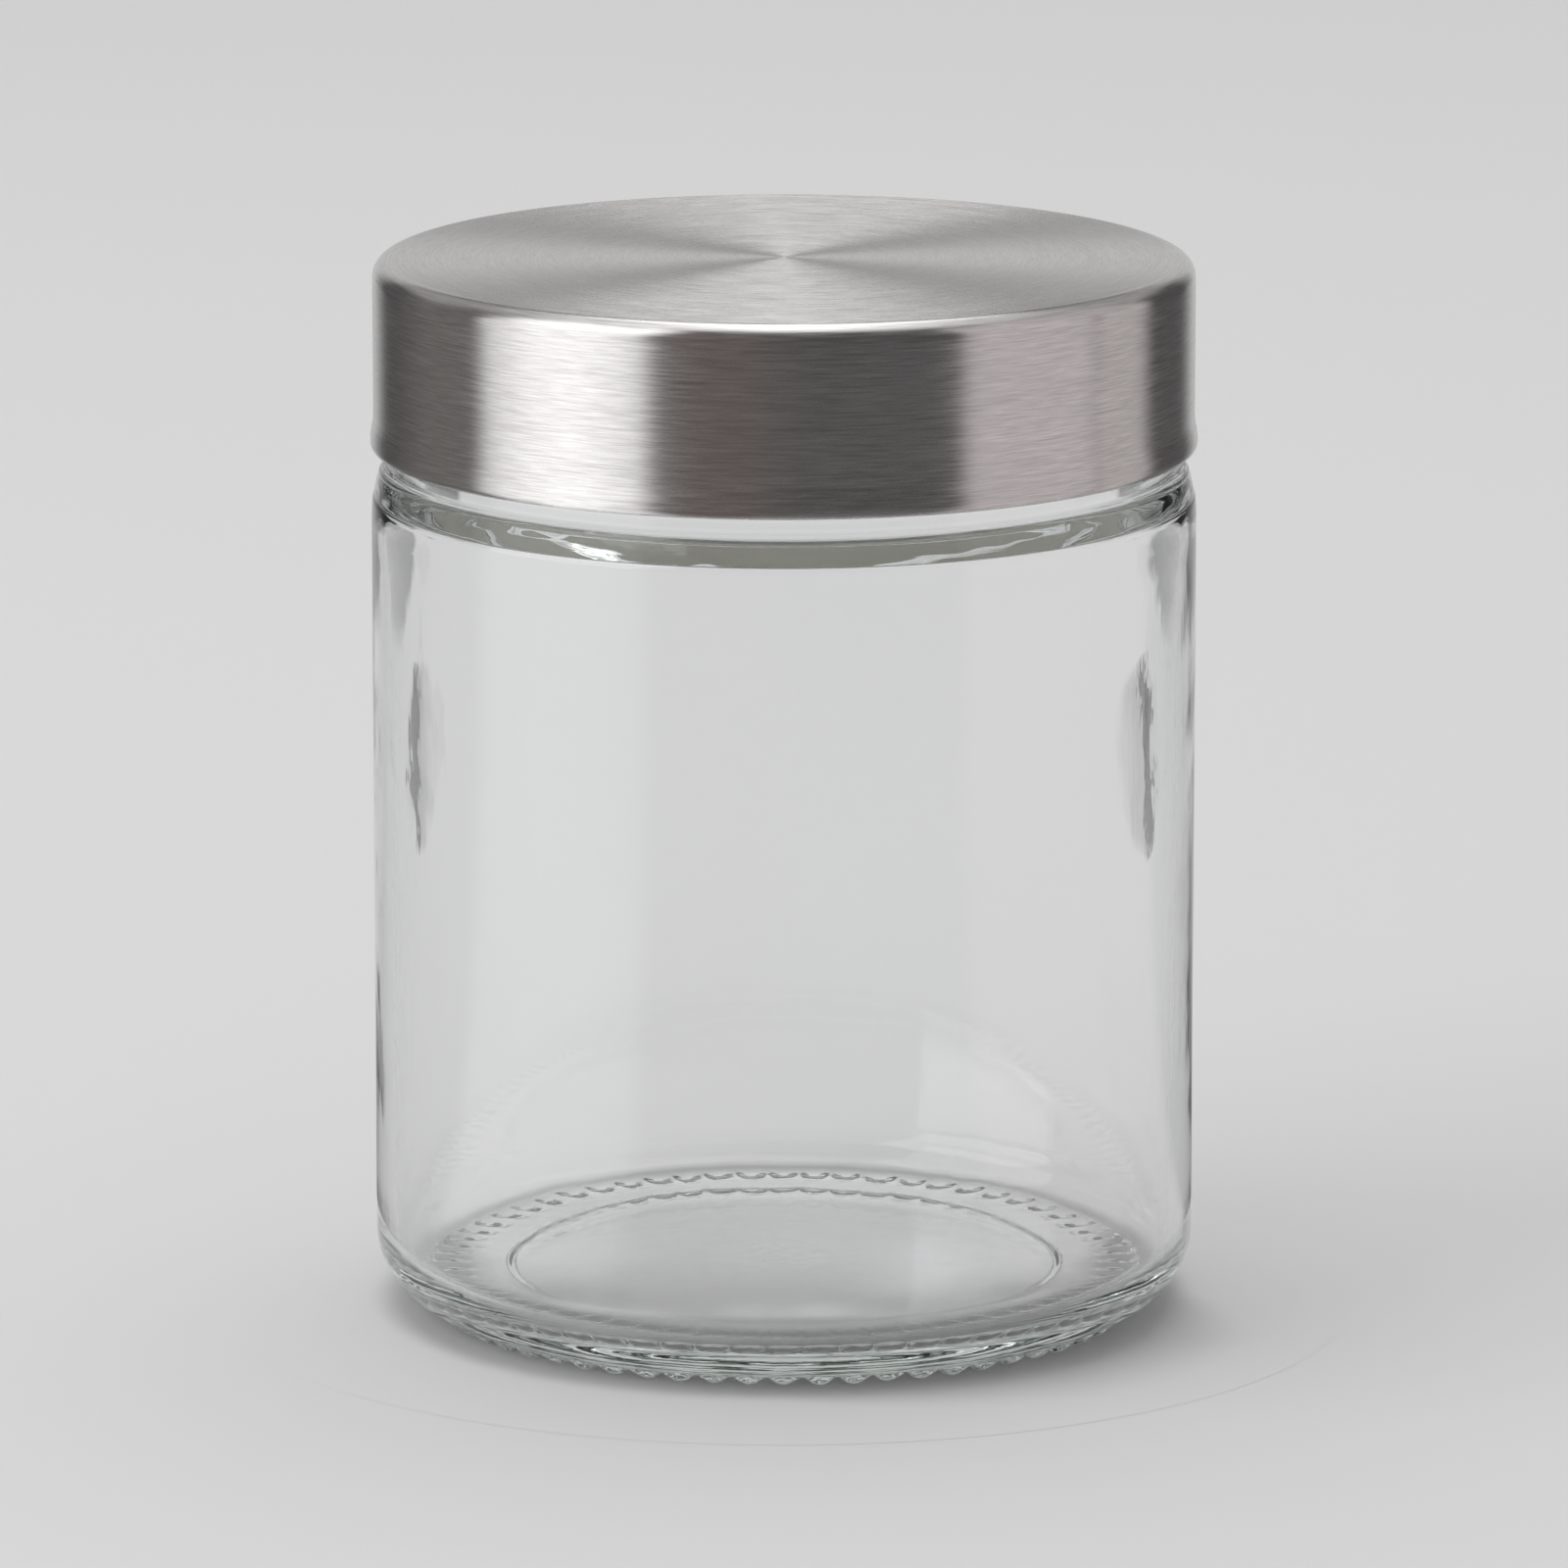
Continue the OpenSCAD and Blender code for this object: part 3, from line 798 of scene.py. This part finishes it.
def brushed_steel():
    """Stainless steel brushed round the jar's axis, on the top and on the side alike."""
    steel = bpy.data.materials.new("brushed_steel")
    steel.use_nodes = True
    tree = steel.node_tree
    nodes, links = tree.nodes, tree.links
    shader = nodes["Principled BSDF"]
    shader.inputs["Metallic"].default_value = 1.0
    shader.inputs["Anisotropic"].default_value = 0.97
    shader.inputs["Anisotropic Rotation"].default_value = 0.25
    coordinates = nodes.new("ShaderNodeTexCoord")
    point = nodes.new("ShaderNodeSeparateXYZ")
    links.new(coordinates.outputs["Object"], point.inputs[0])
    x, y, z = point.outputs
    radius = calc(tree, "SQRT", calc(tree, "ADD", calc(tree, "MULTIPLY", x, x), calc(tree, "MULTIPLY", y, y)))
    across = calc(tree, "SUBTRACT", radius, z)

    def streaks(along_scale, across_scale, detail):
        """Noise drawn out round the axis, with its two scales per metre."""
        place = nodes.new("ShaderNodeCombineXYZ")
        links.new(calc(tree, "MULTIPLY", x, along_scale), place.inputs["X"])
        links.new(calc(tree, "MULTIPLY", y, along_scale), place.inputs["Y"])
        links.new(calc(tree, "MULTIPLY", across, across_scale), place.inputs["Z"])
        noise = nodes.new("ShaderNodeTexNoise")
        noise.inputs["Scale"].default_value = 1
        noise.inputs["Detail"].default_value = detail
        links.new(place.outputs[0], noise.inputs["Vector"])
        return noise.outputs["Fac"]

    def spread(value, low, high, to_low, to_high):
        """A value's range stretched to another one."""
        stretch = nodes.new("ShaderNodeMapRange")
        for name, number in zip(("From Min", "From Max", "To Min", "To Max"), (low, high, to_low, to_high)):
            stretch.inputs[name].default_value = number
        links.new(value, stretch.inputs["Value"])
        return stretch.outputs["Result"]

    fine = streaks(420, 9500, 1)
    lines = streaks(210, 5600, 2)
    patches = streaks(40, 600, 2)
    mixed = calc(tree, "ADD", calc(tree, "MULTIPLY", fine, 0.45), calc(tree, "MULTIPLY", lines, 0.45))
    mixed = calc(tree, "ADD", mixed, calc(tree, "MULTIPLY", patches, 0.1))
    blend = nodes.new("ShaderNodeMix")
    blend.data_type = "RGBA"
    blend.inputs[6].default_value = (0.51, 0.495, 0.49, 1)
    blend.inputs[7].default_value = (0.76, 0.745, 0.735, 1)
    links.new(spread(mixed, 0.32, 0.68, 0, 1), blend.inputs[0])
    links.new(blend.outputs[2], shader.inputs["Base Color"])
    rolled = calc(tree, "MULTIPLY", spread(radius, 0.0331, 0.0334, 0, 1), spread(z, 0.0887, 0.0891, 0, 1))
    rough = calc(tree, "SUBTRACT", spread(lines, 0.3, 0.7, 0.22, 0.3), calc(tree, "MULTIPLY", rolled, 0.06))
    links.new(rough, shader.inputs["Roughness"])
    bump = nodes.new("ShaderNodeBump")
    bump.inputs["Strength"].default_value = 0.3
    bump.inputs["Distance"].default_value = 0.00001
    links.new(mixed, bump.inputs["Height"])
    links.new(bump.outputs["Normal"], shader.inputs["Normal"])
    round_axis = nodes.new("ShaderNodeVectorMath")
    round_axis.operation = "CROSS_PRODUCT"
    round_axis.inputs[0].default_value = (0, 0, 1)
    links.new(coordinates.outputs["Object"], round_axis.inputs[1])
    to_world = nodes.new("ShaderNodeVectorTransform")
    to_world.vector_type = "VECTOR"
    to_world.convert_from = "OBJECT"
    to_world.convert_to = "WORLD"
    links.new(round_axis.outputs[0], to_world.inputs[0])
    tangent = nodes.new("ShaderNodeVectorMath")
    tangent.operation = "NORMALIZE"
    links.new(to_world.outputs[0], tangent.inputs[0])
    links.new(tangent.outputs[0], shader.inputs["Tangent"])
    return steel


sheet = 0.4
side_r = R - 0.2
edge_r = 1.5
flare, flare_h, curl_r = 0.26, 2.4, 0.6
shell_z = shell_low[2] / mm
curl_z = shell_z + curl_r
curl_x = side_r + flare - curl_r
flare_r = (flare * flare + flare_h * flare_h) / (4 * flare)
flare_angle = math.degrees(math.asin(flare_h / 2 / flare_r))
shell_outline = joined(
    [(0, H)],
    span((0, H), (side_r - edge_r, H), 10),
    arc(side_r - edge_r, H - edge_r, edge_r, 90, 0, 12),
    span((side_r, H - edge_r), (side_r, curl_z + flare_h), 4),
    arc(side_r + flare_r, curl_z + flare_h, flare_r, 180, 180 + flare_angle, 5),
    arc(side_r + flare - flare_r, curl_z, flare_r, flare_angle, 0, 5),
    arc(curl_x, curl_z, curl_r, 0, -225, 18),
    arc(curl_x, curl_z, curl_r - sheet, -225, 0, 12),
    arc(side_r + flare - flare_r - sheet, curl_z, flare_r, 0, flare_angle, 4),
    arc(side_r - sheet + flare_r, curl_z + flare_h, flare_r, 180 + flare_angle, 180, 4),
    arc(side_r - edge_r, H - edge_r, edge_r - sheet, 0, 90, 8),
    span((side_r - edge_r, H - sheet), (0, H - sheet), 6),
    [(0, H - sheet)],
)
steel = brushed_steel()
shell = made_plain(turned("lid_steel", shell_outline, 384, steel))
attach(shell, "lid")
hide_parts("lid_shell")

# Lid insert. A cap moulded in natural polypropylene, pressed into the steel, with the thread inside its skirt.


def moulded_plastic(name, colour, roughness):
    """Moulded plastic or rubber with a slightly uneven, satin skin."""
    plastic = bpy.data.materials.new(name)
    plastic.use_nodes = True
    nodes, links = plastic.node_tree.nodes, plastic.node_tree.links
    shader = nodes["Principled BSDF"]
    shader.inputs["Base Color"].default_value = (*colour, 1)
    coordinates = nodes.new("ShaderNodeTexCoord")
    grain = nodes.new("ShaderNodeTexNoise")
    grain.inputs["Scale"].default_value = 1500
    grain.inputs["Detail"].default_value = 4
    links.new(coordinates.outputs["Object"], grain.inputs["Vector"])
    rough = nodes.new("ShaderNodeMapRange")
    rough.inputs["To Min"].default_value = roughness - 0.08
    rough.inputs["To Max"].default_value = roughness + 0.08
    links.new(grain.outputs["Fac"], rough.inputs["Value"])
    links.new(rough.outputs["Result"], shader.inputs["Roughness"])
    bump = nodes.new("ShaderNodeBump")
    bump.inputs["Strength"].default_value = 0.2
    bump.inputs["Distance"].default_value = 0.00005
    links.new(grain.outputs["Fac"], bump.inputs["Height"])
    links.new(bump.outputs["Normal"], shader.inputs["Normal"])
    return plastic


insert_plastic = moulded_plastic("insert_plastic", (0.93, 0.93, 0.9), 0.42)
insert_low, insert_high = [corner[2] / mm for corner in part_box("lid_insert")]
panel_low = insert_high - 1.3
skirt_r = side_r - sheet - 0.15
skirt_in_r = neck_ring_r + 0.2
insert_corner = edge_r - sheet + 0.15
seal_in_r = mouth_r - 0.6
plug_r = seal_in_r - 0.35
plug_t, plug_h = 1, 2.2
skirt_top = panel_low - 0.3
insert_outline = joined(
    [(0, insert_high)],
    span((0, insert_high), (skirt_r - insert_corner, insert_high), 4),
    arc(skirt_r - insert_corner, insert_high - insert_corner, insert_corner, 90, 0, 6),
    span((skirt_r, insert_high - insert_corner), (skirt_r, insert_low + 0.2), 16),
    arc(skirt_r - 0.2, insert_low + 0.2, 0.2, 0, -90, 3),
    arc(skirt_in_r + 0.2, insert_low + 0.2, 0.2, 270, 180, 3),
    span((skirt_in_r, insert_low + 0.2), (skirt_in_r, skirt_top), 56),
    arc(skirt_in_r - 0.3, skirt_top, 0.3, 0, 90, 3),
    arc(plug_r + 0.3, panel_low - 0.3, 0.3, 90, 180, 3),
    arc(plug_r - plug_t / 2, panel_low - plug_h + plug_t / 2, plug_t / 2, 0, -180, 8),
    arc(plug_r - plug_t - 0.3, panel_low - 0.3, 0.3, 0, 90, 3),
    span((plug_r - plug_t - 0.3, panel_low), (0, panel_low), 5),
    [(0, panel_low)],
)


def insert_detail_tree():
    """Raises the thread inside the skirt, half a pitch off the neck's, and the grip ribs outside it."""
    tree, given, out = tree_with_inputs(
        "insert_detail",
        [
            ("Thread Starts", "NodeSocketInt"),
            ("Thread Lead", "NodeSocketFloat"),
            ("Thread Low", "NodeSocketFloat"),
            ("Thread High", "NodeSocketFloat"),
            ("Thread Width", "NodeSocketFloat"),
            ("Thread Depth", "NodeSocketFloat"),
            ("Skirt Inner Radius", "NodeSocketFloat"),
            ("Skirt Outer Radius", "NodeSocketFloat"),
            ("Ribs", "NodeSocketInt"),
            ("Rib Width", "NodeSocketFloat"),
            ("Rib Height", "NodeSocketFloat"),
            ("Rib Low", "NodeSocketFloat"),
            ("Rib High", "NodeSocketFloat"),
            ("Material", "NodeSocketMaterial"),
        ],
    )
    value = given.outputs
    point = tree.nodes.new("ShaderNodeSeparateXYZ")
    tree.links.new(tree.nodes.new("GeometryNodeInputPosition").outputs[0], point.inputs[0])
    x, y, z = point.outputs
    radius = calc(tree, "SQRT", calc(tree, "ADD", calc(tree, "MULTIPLY", x, x), calc(tree, "MULTIPLY", y, y)))
    angle = calc(tree, "ARCTAN2", y, x)

    pitch = calc(tree, "DIVIDE", value["Thread Lead"], value["Thread Starts"])
    climb = calc(tree, "MULTIPLY", calc(tree, "DIVIDE", angle, 2 * math.pi), value["Thread Lead"])
    turns = calc(tree, "SUBTRACT", calc(tree, "DIVIDE", calc(tree, "SUBTRACT", z, climb), pitch), 0.5)
    from_ridge = calc(tree, "MULTIPLY", calc(tree, "SUBTRACT", turns, calc(tree, "ROUND", turns)), pitch)
    slope = calc(tree, "ABSOLUTE", calc(tree, "DIVIDE", from_ridge, calc(tree, "MULTIPLY", value["Thread Width"], 0.5)))
    ridge = calc(tree, "MINIMUM", calc(tree, "MULTIPLY", calc(tree, "MAXIMUM", calc(tree, "SUBTRACT", 1, slope), 0), 1.8), 1)
    above = calc(tree, "DIVIDE", calc(tree, "SUBTRACT", z, value["Thread Low"]), value["Thread Width"])
    below = calc(tree, "DIVIDE", calc(tree, "SUBTRACT", value["Thread High"], z), value["Thread Width"])
    window = calc(tree, "MINIMUM", calc(tree, "MAXIMUM", calc(tree, "MINIMUM", above, below), 0), 1)
    on_inside = calc(tree, "COMPARE", radius, value["Skirt Inner Radius"], 0.00002)
    thread = calc(tree, "MULTIPLY", calc(tree, "MINIMUM", ridge, window), value["Thread Depth"])
    thread = calc(tree, "MULTIPLY", thread, on_inside)

    rib_step = calc(tree, "DIVIDE", 2 * math.pi, value["Ribs"])
    nearest = calc(tree, "MULTIPLY", calc(tree, "ROUND", calc(tree, "DIVIDE", angle, rib_step)), rib_step)
    across = calc(tree, "MULTIPLY", calc(tree, "SUBTRACT", angle, nearest), radius)
    across = calc(tree, "DIVIDE", across, calc(tree, "MULTIPLY", value["Rib Width"], 0.5))
    back = calc(tree, "MAXIMUM", calc(tree, "SUBTRACT", 1, calc(tree, "MULTIPLY", across, across)), 0)
    between_ends = calc(
        tree,
        "MULTIPLY",
        calc(tree, "GREATER_THAN", z, value["Rib Low"]),
        calc(tree, "LESS_THAN", z, value["Rib High"]),
    )
    on_outside = calc(tree, "COMPARE", radius, value["Skirt Outer Radius"], 0.00002)
    rib = calc(tree, "MULTIPLY", calc(tree, "MULTIPLY", back, value["Rib Height"]), between_ends)
    rib = calc(tree, "MULTIPLY", rib, on_outside)

    new_radius = calc(tree, "ADD", calc(tree, "SUBTRACT", radius, thread), rib)
    place = tree.nodes.new("ShaderNodeCombineXYZ")
    tree.links.new(calc(tree, "MULTIPLY", new_radius, calc(tree, "COSINE", angle)), place.inputs["X"])
    tree.links.new(calc(tree, "MULTIPLY", new_radius, calc(tree, "SINE", angle)), place.inputs["Y"])
    tree.links.new(z, place.inputs["Z"])
    move = tree.nodes.new("GeometryNodeSetPosition")
    tree.links.new(value["Geometry"], move.inputs["Geometry"])
    tree.links.new(place.outputs[0], move.inputs["Position"])
    finish_tree(tree, move.outputs["Geometry"], value["Material"], out)
    return tree


insert = turned("lid_inner_cap", insert_outline, 480, insert_plastic)
add_tree(
    insert,
    insert_detail_tree(),
    {
        "Thread Starts": thread_starts,
        "Thread Lead": thread_lead * mm,
        "Thread Low": (insert_low + 0.6) * mm,
        "Thread High": (insert_low + 6.4) * mm,
        "Thread Width": 1.4 * mm,
        "Thread Depth": 0.8 * mm,
        "Skirt Inner Radius": skirt_in_r * mm,
        "Skirt Outer Radius": skirt_r * mm,
        "Ribs": 24,
        "Rib Width": 0.8 * mm,
        "Rib Height": 0.12 * mm,
        "Rib Low": (insert_low + 1) * mm,
        "Rib High": (panel_low - 1) * mm,
        "Material": insert_plastic,
    },
)
made_plain(insert)
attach(insert, "lid")
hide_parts("lid_insert")

# Lid seal. A flat ring of translucent silicone between the insert and the glass rim, held in by the plug ring.
# It presses on the rim all round and stays on it when the lid turns.
seal_rubber = moulded_plastic("seal_rubber", (0.95, 0.95, 0.9), 0.5)
silicone = seal_rubber.node_tree.nodes["Principled BSDF"]
silicone.inputs["Subsurface Weight"].default_value = 1.0
silicone.inputs["Subsurface Radius"].default_value = (1, 1, 0.9)
silicone.inputs["Subsurface Scale"].default_value = 0.003
# Painted light: the seal glows faintly, standing in for light that would reach it through the glass rim.
silicone.inputs["Emission Color"].default_value = (1, 0.96, 0.88, 1)
silicone.inputs["Emission Strength"].default_value = 0.07
seal_low, seal_high = [corner[2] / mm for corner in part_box("lid_seal")]
seal_low += 0.04
seal_out_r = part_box("lid_seal")[1][0] / mm
seal_round = 0.3
seal_outline = joined(
    arc(seal_in_r + seal_round, seal_high - seal_round, seal_round, 180, 90, 4),
    span((seal_in_r + seal_round, seal_high), (seal_out_r - seal_round, seal_high), 4),
    arc(seal_out_r - seal_round, seal_high - seal_round, seal_round, 90, 0, 4),
    arc(seal_out_r - seal_round, seal_low + seal_round, seal_round, 0, -90, 4),
    span((seal_out_r - seal_round, seal_low), (seal_in_r + seal_round, seal_low), 4),
    arc(seal_in_r + seal_round, seal_low + seal_round, seal_round, 270, 180, 4),
)
seal_outline.append(seal_outline[0])
seal = made_plain(turned("lid_silicone_ring", seal_outline, 192, seal_rubber))
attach(seal, "seal")
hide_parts("lid_seal")
